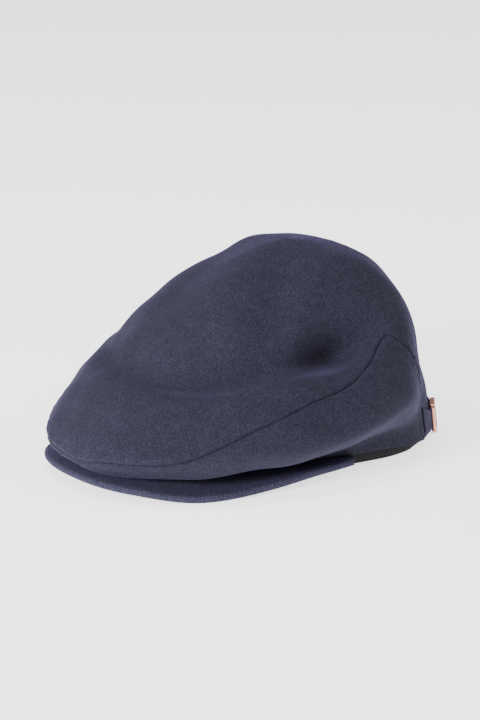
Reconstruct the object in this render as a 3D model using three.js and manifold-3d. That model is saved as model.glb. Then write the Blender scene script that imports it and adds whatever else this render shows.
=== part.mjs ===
import * as THREE from 'three';
import { mergeVertices } from 'three/addons/utils/BufferGeometryUtils.js';
import Module from 'manifold-3d';

// A flat cap of wool cloth: a full crown that falls forward over a short stiff peak.
// Millimetres, +Z up. The peak points along -Y and the wearer's left is +X.
// The origin is under the middle of the cap, on the surface it rests on.

// Head opening
const HEAD_WIDTH = 158;
const HEAD_LENGTH = 197;
const BACK_FULLNESS = 0.08;

// Walls and the small space that is kept between neighbouring pieces
const BAND_WALL = 1.2;
const CLOTH_WALL = 2;
const SEAM_GAP = 0.3;
const STRAP_GAP = 0.4;

// Crown
const CROWN_HEIGHT = 128;
const PEAK_CLEARANCE = 0.5;
const TUCK_DEPTH = 1.2;

// Peak
const PEAK_LENGTH = 65;
const PEAK_FLARE = 10.3;
const PEAK_CORNER_STEP = 6.5;
const PEAK_THICKNESS = 4.5;
const PEAK_ROOT_HEIGHT = 9;
const PEAK_TIP_LIFT = 6.6;
const PEAK_SQUARENESS = 2.4;

// Sweatband
const BAND_HEIGHT = 30;
const BAND_FRONT_LIFT = 5;

// Strap and buckle at the back
const STRAP_END_HEIGHT = 18;
const STRAP_WALL = 1.4;
const STRAP_CLEARANCE = 0.5;
const STRAP_END_RISE = 5;
const STRAP_LEVEL_ANGLE = 133;
const STRAP_END_TURN = 0.45;
const BUCKLE_ANGLE = 140;
const BUCKLE_HEIGHT = 19.5;
const BUCKLE_WIDTH = 18;
const BUCKLE_DEPTH = 3.1;
const BUCKLE_BAR = 2;
const BUCKLE_CORNER = 2.6;
const BUCKLE_STANDOFF = 0.8;
const BUCKLE_LIFT = 0.6;
const MIDDLE_BAR_DEPTH = 1.1;
const SIDE_BAR_DEPTH = 1.8;

// Crown sections, at angles round the head from the front (0) to the back (180), the same left
// and right. Each place is [reach, rise]: reach is a share of the cloth's oval at the rim, rise
// a share of the way from the seat to the top. The seat is a share of the height over the peak.
const CROWN_PLACES = ['rim', 'turn', 'under', 'bulge', 'roll', 'crease', 'slope', 'crest'];
const CROWN_SECTIONS = [
  { angle: 0, seat: 1, rim: [1, 0], turn: [1.42, -0.01], under: [1.56, -0.008], bulge: [1.61, 0.052],
    roll: [1.48, 0.25], crease: [1.17, 0.476], slope: [0.81, 0.69], crest: [0.42, 0.885] },
  { angle: 18, seat: 0.97, rim: [1, 0], turn: [1.39, -0.005], under: [1.54, -0.001], bulge: [1.59, 0.066],
    roll: [1.46, 0.257], crease: [1.16, 0.474], slope: [0.81, 0.695], crest: [0.42, 0.888] },
  { angle: 32, seat: 0.93, rim: [1, 0], turn: [1.31, 0.002], under: [1.47, 0.01], bulge: [1.54, 0.095],
    roll: [1.42, 0.268], crease: [1.15, 0.471], slope: [0.81, 0.7], crest: [0.42, 0.89] },
  { angle: 55, seat: 0.81, rim: [1, 0], turn: [1.19, 0.026], under: [1.37, 0.062], bulge: [1.45, 0.14],
    roll: [1.36, 0.3], crease: [1.11, 0.495], slope: [0.8, 0.713], crest: [0.43, 0.9] },
  { angle: 75, seat: 0.71, rim: [1, 0.003], turn: [1.06, 0.05], under: [1.22, 0.1], bulge: [1.32, 0.175],
    roll: [1.26, 0.34], crease: [1.05, 0.527], slope: [0.76, 0.751], crest: [0.41, 0.917] },
  { angle: 95, seat: 0.6, rim: [1, 0.006], turn: [1.01, 0.09], under: [1.12, 0.15], bulge: [1.21, 0.25],
    roll: [1.16, 0.415], crease: [1, 0.603], slope: [0.74, 0.789], crest: [0.4, 0.936] },
  { angle: 120, seat: 0.2, rim: [1, 0.004], turn: [1, 0.098], under: [1.01, 0.194], bulge: [1.01, 0.315],
    roll: [0.97, 0.484], crease: [0.88, 0.67], slope: [0.68, 0.831], crest: [0.38, 0.952] },
  { angle: 145, seat: 0.05, rim: [1, 0.004], turn: [0.98, 0.113], under: [0.95, 0.232], bulge: [0.9, 0.359],
    roll: [0.85, 0.509], crease: [0.76, 0.675], slope: [0.6, 0.85], crest: [0.34, 0.961] },
  { angle: 165, seat: 0, rim: [1, 0.008], turn: [0.97, 0.118], under: [0.94, 0.244], bulge: [0.89, 0.378],
    roll: [0.83, 0.535], crease: [0.72, 0.701], slope: [0.56, 0.865], crest: [0.31, 0.965] },
  { angle: 180, seat: 0, rim: [1, 0.008], turn: [0.97, 0.118], under: [0.93, 0.244], bulge: [0.88, 0.378],
    roll: [0.81, 0.535], crease: [0.7, 0.705], slope: [0.54, 0.865], crest: [0.3, 0.965] },
];

// Dents and swells of the crown. Angle and place say where the middle is, spread is in degrees,
// run in places, and depth is a share of the crown's height, inwards where it is above zero.
const CROWN_DENTS = [
  { angle: 79, place: 5.35, spread: 15, run: 0.72, depth: 0.085 },
  { angle: 100, place: 5.3, spread: 9, run: 0.8, depth: 0.02 },
  { angle: 38, place: 5.1, spread: 36, run: 0.45, depth: 0.045 },
  { angle: 0, place: 5, spread: 20, run: 0.45, depth: 0.02 },
  { angle: 56, place: 6.3, spread: 14, run: 1.2, depth: 0.024 },
  { angle: 18, place: 6.5, spread: 24, run: 0.9, depth: -0.02 },
  { angle: -50, place: 6.2, spread: 22, run: 0.6, depth: -0.022 },
  { angle: -43, place: 5.4, spread: 18, run: 0.8, depth: -0.034 },
  { angle: -85, place: 6.95, spread: 26, run: 0.6, depth: -0.022 },
  { angle: -75, place: 5.2, spread: 20, run: 0.7, depth: 0.035 },
  { angle: 118, place: 6.1, spread: 24, run: 0.9, depth: -0.016 },
  { angle: 130, place: 3.5, spread: 12, run: 0.5, depth: 0.014 },
  { angle: 162, place: 6.5, spread: 7, run: 0.25, depth: 0.014 },
];

// The seam between the top and the side panel, by angle and place. It rises from low on the
// front to a pointed corner behind the ear, and drops from there to the rim.
const SEAM_ROUTE = [
  { angle: 0, place: 2.88 },
  { angle: 15, place: 3.08 },
  { angle: 26, place: 3.05 },
  { angle: 35, place: 3.12 },
  { angle: 42, place: 3.4 },
  { angle: 50, place: 3.78 },
  { angle: 65, place: 4.23 },
  { angle: 80, place: 4.44 },
  { angle: 88, place: 4.66 },
  { angle: 95, place: 4.9 },
  { angle: 100.5, place: 4.98 },
  { angle: 105, place: 4.6 },
  { angle: 110, place: 3.85 },
  { angle: 116, place: 2.85 },
  { angle: 121, place: 1.6 },
  { angle: 125, place: 0 },
];

// The peak's underside, as shares of the height at its root and of the lift at its tip
const PEAK_SECTIONS = [
  { angle: 0, root: 1, edge: 1 },
  { angle: 25, root: 0.94, edge: 0.72 },
  { angle: 48, root: 0.74, edge: 0 },
  { angle: 66, root: 0.6, edge: 0.441 },
  { angle: 76, root: 0.52, edge: 0.82 },
  { angle: 84, root: 0.44, edge: 0.92 },
];

// The sweatband's lower edge, as a share of its lift at the front, and how far it leans inwards
// over its height, as a share of the head oval
const BAND_SECTIONS = [
  { angle: 0, low: 1, lean: 0 },
  { angle: 30, low: 0.92, lean: 0 },
  { angle: 55, low: 0.76, lean: 0 },
  { angle: 75, low: 0.6, lean: 0 },
  { angle: 90, low: 0.48, lean: 0 },
  { angle: 105, low: 0.16, lean: 0.01 },
  { angle: 120, low: 0, lean: 0.03 },
  { angle: 145, low: 0, lean: 0.07 },
  { angle: 165, low: 0, lean: 0.082 },
  { angle: 180, low: 0, lean: 0.09 },
];

// The strap pulls the cap in behind the side panels: from one angle to the next, and fading out
// from one place to the next
const TUCK_ANGLES = [113, 120];
const TUCK_PLACES = [2.6, 3.8];

// Colours from the cloth, the band and the metal
const CLOTH_COLOUR = 0x3f3d54;
const BAND_COLOUR = 0x2d2c31;
const METAL_COLOUR = 0xb06f58;

// Sizes worked out from the ones above
const CLOTH_OUTSIDE = BAND_WALL + SEAM_GAP + CLOTH_WALL;
const SEAT_HEIGHT = PEAK_ROOT_HEIGHT + PEAK_THICKNESS + PEAK_CLEARANCE;
const BUCKLE_MIDDLE = BUCKLE_LIFT + BUCKLE_HEIGHT / 2;
const WINDOW_HEIGHT = BUCKLE_HEIGHT - 2 * BUCKLE_BAR;
const POLE = CROWN_PLACES.length;

// Small steps for slopes on a surface, the distance under which points are one and the same, and
// how often a search halves its span
const PLACE_STEP = 0.02;
const ANGLE_STEP = 0.2;
const SAME_POINT = 1e-4;
const HALVINGS = 24;

const toRadians = THREE.MathUtils.degToRad;
const mix = THREE.MathUtils.lerp;
const ramp = THREE.MathUtils.smoothstep;

// Cubic between two values with given slopes
function cubic(f, a, slopeA, b, slopeB) {
  const g = f * f;
  const h = g * f;
  return (2 * h - 3 * g + 1) * a + (h - 2 * g + f) * slopeA + (3 * g - 2 * h) * b + (h - g) * slopeB;
}

// Slope at the middle of three values, weighed by the two steps between them
function slope(before, value, after, stepBefore, stepAfter) {
  const left = (value - before) / stepBefore;
  const right = (after - value) / stepAfter;
  return (left * stepAfter + right * stepBefore) / (stepBefore + stepAfter);
}

// An angle's turn away from the front, the same to the left and to the right
const turnOf = (angle) => Math.abs(THREE.MathUtils.euclideanModulo(angle + 180, 360) - 180);

// Smooth value from a table at an angle, level wherever the table turns back. The left and right
// are the same, so it is also level where the table reaches 0 or 180.
function between(rows, angle, value) {
  const turn = turnOf(angle);
  let last = 1;
  while (last < rows.length - 1 && rows[last].angle < turn) last += 1;
  const slopeAt = (index) => {
    const here = rows[index];
    if (here.angle === 0 || here.angle === 180) return 0;
    const before = rows[index - 1] ?? here;
    const after = rows[index + 1] ?? here;
    const isEnd = before === here || after === here;
    if (isEnd) return (value(after) - value(before)) / (after.angle - before.angle);
    if ((value(here) - value(before)) * (value(after) - value(here)) <= 0) return 0;
    const steps = [here.angle - before.angle, after.angle - here.angle];
    return slope(value(before), value(here), value(after), ...steps);
  };
  const from = rows[last - 1];
  const to = rows[last];
  const step = to.angle - from.angle;
  const f = THREE.MathUtils.clamp((turn - from.angle) / step, 0, 1);
  return cubic(f, value(from), slopeAt(last - 1) * step, value(to), slopeAt(last) * step);
}

// Point on an oval round the head, this far outside the head opening
function oval(angle, outside, reach = 1) {
  const turn = toRadians(angle);
  const side = (HEAD_WIDTH / 2 + outside) * reach * (1 - BACK_FULLNESS * Math.cos(turn));
  return new THREE.Vector3(side * Math.sin(turn), -(HEAD_LENGTH / 2 + outside) * reach * Math.cos(turn), 0);
}

// The crown's plain outer surface before its dents. Place runs from 0 at the rim to the pole.
function crownColumn(angle) {
  const seat = SEAT_HEIGHT * between(CROWN_SECTIONS, angle, (row) => row.seat);
  return CROWN_PLACES.map((name) => {
    const reach = between(CROWN_SECTIONS, angle, (row) => row[name][0]);
    const rise = between(CROWN_SECTIONS, angle, (row) => row[name][1]);
    return oval(angle, CLOTH_OUTSIDE, reach).setZ(seat + rise * (CROWN_HEIGHT - seat));
  });
}

const columns = new Map();

function knots(angle) {
  const key = angle.toFixed(6);
  if (!columns.has(key)) {
    const over = crownColumn(angle + 180)[POLE - 1];
    columns.set(key, [...crownColumn(angle), new THREE.Vector3(0, 0, CROWN_HEIGHT), over]);
  }
  return columns.get(key);
}

function crownPlain(angle, place) {
  const points = knots(angle);
  const index = Math.min(Math.floor(place), POLE - 1);
  const f = place - index;
  const length = (i) => points[i].distanceTo(points[i + 1]);
  const tangent = (i, axis) => {
    const at = (j) => points[j].getComponent(axis);
    if (i === 0) return (at(1) - at(0)) / length(0);
    return slope(at(i - 1), at(i), at(i + 1), length(i - 1), length(i));
  };
  const span = length(index);
  const axes = [0, 1, 2].map((axis) => cubic(
    f,
    points[index].getComponent(axis),
    tangent(index, axis) * span,
    points[index + 1].getComponent(axis),
    tangent(index + 1, axis) * span,
  ));
  return new THREE.Vector3(...axes);
}

// Outward direction of a surface given as a function of angle and place
function outward(surface, angle, place) {
  const across = surface(angle + ANGLE_STEP, place).sub(surface(angle - ANGLE_STEP, place));
  const low = Math.max(place - PLACE_STEP, 0);
  const high = Math.min(place + PLACE_STEP, POLE - PLACE_STEP);
  const up = surface(angle, high).sub(surface(angle, low));
  return across.cross(up).normalize();
}

const bump = (distance, width) => Math.exp(-((distance / width) ** 2));

function dentDepth(angle, place) {
  const fade = ramp(POLE - place, 0, 1);
  const depths = CROWN_DENTS.map((dent) => {
    return dent.depth * bump(turnOf(angle - dent.angle), dent.spread) * bump(place - dent.place, dent.run);
  });
  return CROWN_HEIGHT * fade * depths.reduce((sum, depth) => sum + depth, 0);
}

// How far the top panel and the band are pulled in behind the side panel's rear edge
function tuckDepth(angle, place) {
  return TUCK_DEPTH * ramp(turnOf(angle), ...TUCK_ANGLES) * (1 - ramp(place, ...TUCK_PLACES));
}

function crownOuter(angle, place) {
  const point = crownPlain(angle, place);
  if (place >= POLE) return point;
  return point.addScaledVector(outward(crownPlain, angle, place), -dentDepth(angle, place));
}

function topOuter(angle, place) {
  const point = crownPlain(angle, place);
  if (place >= POLE) return point;
  const depth = dentDepth(angle, place) + tuckDepth(angle, place);
  return point.addScaledVector(outward(crownPlain, angle, place), -depth);
}

// Point under a surface by a depth, or over it where the depth is below zero
function below(surface, angle, place, depth) {
  const direction = place >= POLE ? new THREE.Vector3(0, 0, 1) : outward(surface, angle, place);
  return surface(angle, place).addScaledVector(direction, -depth);
}

// A mesh from points and triangles, with shared points merged
function meshOf(name, triangles, material) {
  const geometry = new THREE.BufferGeometry();
  const numbers = triangles.flat().flatMap((point) => point.toArray());
  geometry.setAttribute('position', new THREE.Float32BufferAttribute(numbers, 3));
  const merged = mergeVertices(geometry, SAME_POINT);
  merged.computeVertexNormals();
  const mesh = new THREE.Mesh(merged, material);
  mesh.name = name;
  return mesh;
}

const sameSpot = (a, b) => a.distanceTo(b) < SAME_POINT;

// Two triangles for a four-sided patch, split along its shorter diagonal, without the ones that
// have no area
function patch(a, b, c, d) {
  const split = a.distanceTo(c) <= b.distanceTo(d) ? [[a, b, c], [a, c, d]] : [[a, b, d], [b, c, d]];
  return split.filter(([p, q, r]) => !sameSpot(p, q) && !sameSpot(q, r) && !sameSpot(p, r));
}

// A wall of cloth between an outer and an inner grid of points. Each grid is a list of columns
// that run from the lower edge up. Closed grids go all the way round.
function clothWall(outer, inner, closed) {
  const triangles = [];
  const count = outer.length;
  const rows = outer[0].length;
  const steps = closed ? count : count - 1;
  for (let i = 0; i < steps; i += 1) {
    const next = (i + 1) % count;
    for (let j = 0; j < rows - 1; j += 1) {
      triangles.push(...patch(outer[i][j], outer[next][j], outer[next][j + 1], outer[i][j + 1]));
      triangles.push(...patch(inner[i][j], inner[i][j + 1], inner[next][j + 1], inner[next][j]));
    }
    const top = rows - 1;
    triangles.push(...patch(outer[i][0], inner[i][0], inner[next][0], outer[next][0]));
    triangles.push(...patch(outer[i][top], outer[next][top], inner[next][top], inner[i][top]));
  }
  if (!closed) {
    const end = count - 1;
    for (let j = 0; j < rows - 1; j += 1) {
      triangles.push(...patch(outer[0][j], outer[0][j + 1], inner[0][j + 1], inner[0][j]));
      triangles.push(...patch(outer[end][j], inner[end][j], inner[end][j + 1], outer[end][j + 1]));
    }
  }
  return triangles;
}

// A solid through a row of like sections. Each section is a loop of points that runs the same
// way round, clockwise as seen by someone who looks along the row.
function loft(sections, closed) {
  const triangles = [];
  const count = sections.length;
  const around = sections[0].length;
  const steps = closed ? count : count - 1;
  for (let i = 0; i < steps; i += 1) {
    const next = (i + 1) % count;
    for (let j = 0; j < around; j += 1) {
      const k = (j + 1) % around;
      triangles.push(...patch(sections[i][j], sections[next][j], sections[next][k], sections[i][k]));
    }
  }
  if (!closed) {
    const half = around / 2;
    const ends = [sections[0], sections[count - 1]];
    ends.forEach((section, end) => {
      for (let j = 0; j < half - 1; j += 1) {
        const corners = [section[j], section[j + 1], section[around - 2 - j], section[around - 1 - j]];
        if (end === 1) corners.reverse();
        triangles.push(...patch(...corners));
      }
    });
  }
  return triangles;
}

// The seam's route by angle, with closer steps along its steep rear leg
const SEAM_STEP = 6;
const LEG_START = 90;
const LEG_STEP = 2;

function seamAngles() {
  const end = SEAM_ROUTE.at(-1).angle;
  const front = Math.round(LEG_START / SEAM_STEP);
  const legSteps = Math.ceil((end - LEG_START) / LEG_STEP);
  const right = Array.from({ length: front + 1 }, (unused, i) => (LEG_START * i) / front);
  const leg = Array.from({ length: legSteps }, (unused, i) => mix(LEG_START, end, (i + 1) / legSteps));
  const half = [...right, ...leg];
  return [...half.slice(1).reverse().map((angle) => -angle), ...half];
}

// The seam moved sideways on the crown by a distance: up onto the top panel where it is above
// zero, down onto the side panel where it is below
function seamEdge(shift) {
  const angles = seamAngles();
  const places = angles.map((angle) => between(SEAM_ROUTE, angle, (row) => row.place));
  return angles.map((angle, i) => {
    const place = places[i];
    const here = crownPlain(angle, place);
    const perAngle = crownPlain(angle + ANGLE_STEP, place).sub(here).divideScalar(ANGLE_STEP);
    const perPlace = crownPlain(angle, place + PLACE_STEP).sub(here).divideScalar(PLACE_STEP);
    const from = Math.max(i - 1, 0);
    const to = Math.min(i + 1, angles.length - 1);
    const rate = (places[to] - places[from]) / (angles[to] - angles[from]);
    const along = perAngle.clone().addScaledVector(perPlace, rate).normalize();
    const up = new THREE.Vector3().crossVectors(outward(crownPlain, angle, place), along).normalize();
    const [e, f, g] = [perAngle.dot(perAngle), perAngle.dot(perPlace), perPlace.dot(perPlace)];
    const [a, b] = [up.dot(perAngle) * shift, up.dot(perPlace) * shift];
    const scale = e * g - f * f;
    return { angle: angle + (a * g - b * f) / scale, place: Math.max(place + (b * e - a * f) / scale, 0) };
  });
}

// A grid of points on a surface and one under it, by the cloth's wall. Each column runs between
// two places at its angle, with closer rows low down where the gather is above 1.
function wallGrids(surface, spans, rows, gather) {
  const grid = (depth) => spans.map(({ angle, low, high }) => {
    const at = (j) => mix(low, high, (j / rows) ** gather);
    return Array.from({ length: rows + 1 }, (unused, j) => below(surface, angle, at(j), depth));
  });
  return [grid(0), grid(CLOTH_WALL)];
}

const cloth = new THREE.MeshStandardMaterial({ color: CLOTH_COLOUR, roughness: 0.95, metalness: 0 });
const bandCloth = new THREE.MeshStandardMaterial({ color: BAND_COLOUR, roughness: 0.9, metalness: 0 });
const metal = new THREE.MeshStandardMaterial({ color: METAL_COLOUR, roughness: 0.3, metalness: 1 });

// The side panel: one strip that wraps the front and both sides, from the rim up to the seam
const SIDE_ROWS = 9;

function sidePanel() {
  const spans = seamEdge(-SEAM_GAP / 2).map(({ angle, place }) => ({ angle, low: 0, high: place }));
  const [outer, inner] = wallGrids(crownOuter, spans, SIDE_ROWS, 1);
  return meshOf('side_panel', clothWall(outer, inner, false), cloth);
}

// The top panel: from the seam over the crown, and down to the rim at the back
const TOP_ROWS = 14;
const TOP_GATHER = 1.4;
const BACK_STEP = 5;

function topPanel() {
  const spans = seamEdge(SEAM_GAP / 2).map(({ angle, place }) => ({ angle, low: place, high: POLE }));
  const first = spans[0].angle + 360;
  const last = spans.at(-1).angle;
  const steps = Math.round((first - last) / BACK_STEP);
  for (let i = 1; i < steps; i += 1) {
    spans.push({ angle: mix(last, first, i / steps), low: 0, high: POLE });
  }
  const [outer, inner] = wallGrids(topOuter, spans, TOP_ROWS, TOP_GATHER);
  return meshOf('top_panel', clothWall(outer, inner, true), cloth);
}

// The peak: a stiff plate with a rounded edge, sewn to the band along its root
const ROOT_STEP = 4;
const PEAK_ROWS = 3;
const EDGE_STEPS = 5;

function peak() {
  const cornerAngle = PEAK_SECTIONS.at(-1).angle;
  const rootOutside = BAND_WALL + SEAM_GAP;
  const corner = oval(cornerAngle, rootOutside);
  const halfWidth = corner.x + PEAK_FLARE;
  const cornerY = corner.y - PEAK_CORNER_STEP;
  const length = HEAD_LENGTH / 2 + rootOutside + PEAK_LENGTH + cornerY;
  const radius = PEAK_THICKNESS / 2;
  const power = (value) => Math.sign(value) * Math.abs(value) ** (2 / PEAK_SQUARENESS);

  const section = (angle) => {
    const turn = toRadians((angle / cornerAngle) * 90);
    const root = oval(angle, rootOutside);
    const tipY = cornerY - length * power(Math.cos(turn));
    const tip = new THREE.Vector3(halfWidth * power(Math.sin(turn)), tipY, 0);
    const width = root.distanceTo(tip);
    const rootZ = PEAK_ROOT_HEIGHT * between(PEAK_SECTIONS, angle, (row) => row.root);
    const edgeZ = PEAK_TIP_LIFT * between(PEAK_SECTIONS, angle, (row) => row.edge);
    const at = (distance, z) => root.clone().lerp(tip, distance / width).setZ(z);
    const flat = width - radius;
    const height = (f) => mix(rootZ, edgeZ, f);
    const under = [];
    const over = [];
    for (let j = 0; j <= PEAK_ROWS; j += 1) {
      const f = j / PEAK_ROWS;
      under.push(at(flat * f, height(f)));
      over.unshift(at(flat * f, height(f) + PEAK_THICKNESS));
    }
    const edge = [];
    for (let j = 1; j < EDGE_STEPS; j += 1) {
      const roll = Math.PI * (j / EDGE_STEPS);
      edge.push(at(flat + radius * Math.sin(roll), edgeZ + radius - radius * Math.cos(roll)));
    }
    return [...under, ...edge, ...over];
  };

  const sections = [];
  for (let angle = -cornerAngle; angle <= cornerAngle; angle += ROOT_STEP) sections.push(section(angle));
  return meshOf('peak', loft(sections, false), cloth);
}

// The sweatband: a strip all round the inside of the head opening
function sweatband() {
  const sections = [];
  for (let angle = 0; angle < 360; angle += ROOT_STEP) {
    const low = BAND_FRONT_LIFT * between(BAND_SECTIONS, angle, (row) => row.low);
    const reach = 1 - between(BAND_SECTIONS, angle, (row) => row.lean);
    const inside = -tuckDepth(angle, 0);
    sections.push([
      oval(angle, inside + BAND_WALL).setZ(low),
      oval(angle, inside + BAND_WALL, reach).setZ(low + BAND_HEIGHT),
      oval(angle, inside, reach).setZ(low + BAND_HEIGHT),
      oval(angle, inside).setZ(low),
    ]);
  }
  return meshOf('sweatband', loft(sections, true), bandCloth);
}

// Place on the crown at a height, found by halving
function placeAtHeight(angle, height) {
  let [low, high] = [0, CROWN_PLACES.indexOf('roll')];
  for (let i = 0; i < HALVINGS; i += 1) {
    const middle = (low + high) / 2;
    if (crownPlain(angle, middle).z < height) low = middle;
    else high = middle;
  }
  return (low + high) / 2;
}

// Angle of the seam's rear leg at a place, found by halving
function legAngle(place) {
  const corner = SEAM_ROUTE.reduce((top, row) => (row.place > top.place ? row : top));
  let [low, high] = [corner.angle, SEAM_ROUTE.at(-1).angle];
  for (let i = 0; i < HALVINGS; i += 1) {
    const middle = (low + high) / 2;
    if (between(SEAM_ROUTE, middle, (row) => row.place) > place) low = middle;
    else high = middle;
  }
  return (low + high) / 2;
}

// Where the buckle sits: a point on the cloth, and the directions sideways, up and out
function buckleSeat() {
  const place = placeAtHeight(BUCKLE_ANGLE, BUCKLE_MIDDLE);
  const out = outward(topOuter, BUCKLE_ANGLE, place);
  const up = new THREE.Vector3(0, 0, 1).addScaledVector(out, -out.z).normalize();
  const side = new THREE.Vector3().crossVectors(up, out);
  return { point: topOuter(BUCKLE_ANGLE, place), side, up, out };
}

// The strap: a strip over the lower back, sewn in at both seams, that passes under the buckle's
// side bars and over its middle bar
const STRAP_STEP = 4;
const THREADED_STEP = 0.7;
const THREADED_ANGLE = 7;
const STRAP_ROWS = 4;

function strapAngles() {
  const start = SEAM_ROUTE.at(-1).angle;
  const spans = [
    [start, BUCKLE_ANGLE - THREADED_ANGLE, STRAP_STEP],
    [BUCKLE_ANGLE - THREADED_ANGLE, BUCKLE_ANGLE + THREADED_ANGLE, THREADED_STEP],
    [BUCKLE_ANGLE + THREADED_ANGLE, 360 - start, STRAP_STEP],
  ];
  const angles = spans.flatMap(([from, to, step]) => {
    const count = Math.round((to - from) / step);
    return Array.from({ length: count }, (unused, i) => mix(from, to, i / count));
  });
  return [...angles, 360 - start];
}

function strap() {
  const start = SEAM_ROUTE.at(-1).angle;
  const passHeight = WINDOW_HEIGHT - 2 * STRAP_CLEARANCE;
  const seat = buckleSeat();
  const climb = BUCKLE_STANDOFF + MIDDLE_BAR_DEPTH;
  const onBar = BUCKLE_BAR;
  const offBar = BUCKLE_WIDTH / 2 - BUCKLE_BAR - STRAP_CLEARANCE;

  const sections = strapAngles().map((angle) => {
    const turn = Math.min(angle, 360 - angle);
    const end = 1 - ramp(turn, start, STRAP_LEVEL_ANGLE);
    const middle = BUCKLE_MIDDLE + STRAP_END_RISE * end;
    const height = mix(passHeight, STRAP_END_HEIGHT, end);
    const outer = [];
    const inner = [];
    for (let j = 0; j <= STRAP_ROWS; j += 1) {
      const place = placeAtHeight(angle, middle + height * (j / STRAP_ROWS - 0.5));
      const shear = (start - legAngle(place) - STRAP_END_TURN) * end;
      const swung = angle < 180 ? angle - shear : angle + shear;
      const ground = topOuter(swung, place);
      const along = Math.abs(ground.clone().sub(seat.point).dot(seat.side));
      const near = Math.abs(angle - BUCKLE_ANGLE) < THREADED_ANGLE;
      const lift = STRAP_GAP + (near ? climb * (1 - ramp(along, onBar, offBar)) : 0);
      outer.push(below(topOuter, swung, place, -lift - STRAP_WALL));
      inner.unshift(below(topOuter, swung, place, -lift));
    }
    return [...outer, ...inner];
  });
  return meshOf('strap', loft(sections, false), cloth);
}

const wasm = await Module();
wasm.setup();

function solidOf(geometry) {
  const bare = geometry.index ? geometry.toNonIndexed() : geometry.clone();
  bare.deleteAttribute('normal');
  bare.deleteAttribute('uv');
  const merged = mergeVertices(bare, SAME_POINT);
  return new wasm.Manifold(new wasm.Mesh({
    numProp: 3,
    vertProperties: new Float32Array(merged.attributes.position.array),
    triVerts: new Uint32Array(merged.index.array),
  }));
}

function geometryOf(solid) {
  const result = solid.getMesh();
  const geometry = new THREE.BufferGeometry();
  geometry.setAttribute('position', new THREE.Float32BufferAttribute(result.vertProperties, 3));
  geometry.setIndex(Array.from(result.triVerts));
  geometry.computeVertexNormals();
  return geometry;
}

// A block between two heights over the cloth, to be cut from the buckle
function block(x, width, height, low, high) {
  return solidOf(new THREE.BoxGeometry(width, height, high - low).translate(x, 0, (low + high) / 2));
}

// The buckle's whole plate with rounded corners, before it is cut out
const CORNER_STEPS = 5;

function roundedPlate() {
  const [x, y, r] = [BUCKLE_WIDTH / 2, BUCKLE_HEIGHT / 2, BUCKLE_CORNER];
  const shape = new THREE.Shape();
  shape.absarc(x - r, -y + r, r, -Math.PI / 2, 0);
  shape.absarc(x - r, y - r, r, 0, Math.PI / 2);
  shape.absarc(-x + r, y - r, r, Math.PI / 2, Math.PI);
  shape.absarc(-x + r, -y + r, r, Math.PI, Math.PI * 1.5);
  const options = { depth: BUCKLE_DEPTH, bevelEnabled: false, curveSegments: CORNER_STEPS };
  return new THREE.ExtrudeGeometry(shape, options).translate(0, 0, BUCKLE_STANDOFF);
}

// The buckle: a cast frame. Its rails run above and below the strap, its side bars over it, and
// its middle bar under it.
function buckle() {
  const face = BUCKLE_STANDOFF + BUCKLE_DEPTH;
  const spare = 1;
  const window = (BUCKLE_WIDTH - 3 * BUCKLE_BAR) / 2;
  const windowX = (BUCKLE_BAR + window) / 2;
  const sideX = (BUCKLE_WIDTH - BUCKLE_BAR) / 2;
  const under = face - SIDE_BAR_DEPTH;
  const over = BUCKLE_STANDOFF + MIDDLE_BAR_DEPTH;
  let frame = solidOf(roundedPlate());
  for (const hand of [-1, 1]) {
    frame = frame.subtract(block(hand * windowX, window, WINDOW_HEIGHT, 0, face + spare));
    frame = frame.subtract(block(hand * sideX, BUCKLE_BAR + 2 * spare, WINDOW_HEIGHT, 0, under));
  }
  frame = frame.subtract(block(0, BUCKLE_BAR + 2 * spare, WINDOW_HEIGHT, over, face + spare));
  const mesh = new THREE.Mesh(geometryOf(frame), metal);
  mesh.name = 'buckle';
  const { point, side, up, out } = buckleSeat();
  mesh.position.copy(point);
  mesh.quaternion.setFromRotationMatrix(new THREE.Matrix4().makeBasis(side, up, out));
  return mesh;
}

const cap = new THREE.Group();
cap.name = 'flat_cap';
cap.add(topPanel(), sidePanel(), peak(), sweatband(), strap(), buckle());
const box = new THREE.Box3().setFromObject(cap, true);
const middle = box.getCenter(new THREE.Vector3());
cap.position.set(-middle.x, -middle.y, -box.min.z);
cap.updateMatrixWorld(true);

export default cap;
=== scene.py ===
import math

import bmesh
import bpy
import numpy as np
from mathutils import Matrix, Vector, kdtree


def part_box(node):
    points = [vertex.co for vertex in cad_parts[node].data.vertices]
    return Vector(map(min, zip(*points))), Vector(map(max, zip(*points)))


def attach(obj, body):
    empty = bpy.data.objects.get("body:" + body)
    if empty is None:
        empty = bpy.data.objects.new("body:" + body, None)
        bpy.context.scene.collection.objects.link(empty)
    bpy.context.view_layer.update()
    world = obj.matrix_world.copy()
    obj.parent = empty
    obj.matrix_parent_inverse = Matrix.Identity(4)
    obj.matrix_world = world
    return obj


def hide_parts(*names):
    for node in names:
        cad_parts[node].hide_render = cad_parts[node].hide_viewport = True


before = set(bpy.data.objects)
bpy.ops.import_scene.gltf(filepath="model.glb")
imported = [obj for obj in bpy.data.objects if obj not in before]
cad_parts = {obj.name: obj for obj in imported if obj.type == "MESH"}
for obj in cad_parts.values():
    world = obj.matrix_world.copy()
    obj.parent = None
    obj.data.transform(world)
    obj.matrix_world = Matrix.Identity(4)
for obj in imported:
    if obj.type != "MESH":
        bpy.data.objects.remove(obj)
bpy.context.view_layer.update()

# Camera: at a low three-quarter view from the wearer's left front, far enough away that the
# cap's lines hardly converge. It looks past the cap's middle, because the cap lies off centre.
CAMERA_TURN = math.radians(52)
CAMERA_RISE = math.radians(17)
CAMERA_DISTANCE = 1.4
CAMERA_LENS = 110.46
AIM_HEIGHT = 0.055
AIM_ASIDE = 0.0276
AIM_UP = 0.0063
SENSOR_WIDTH = 36
VIEW_REACH = 100
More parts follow.
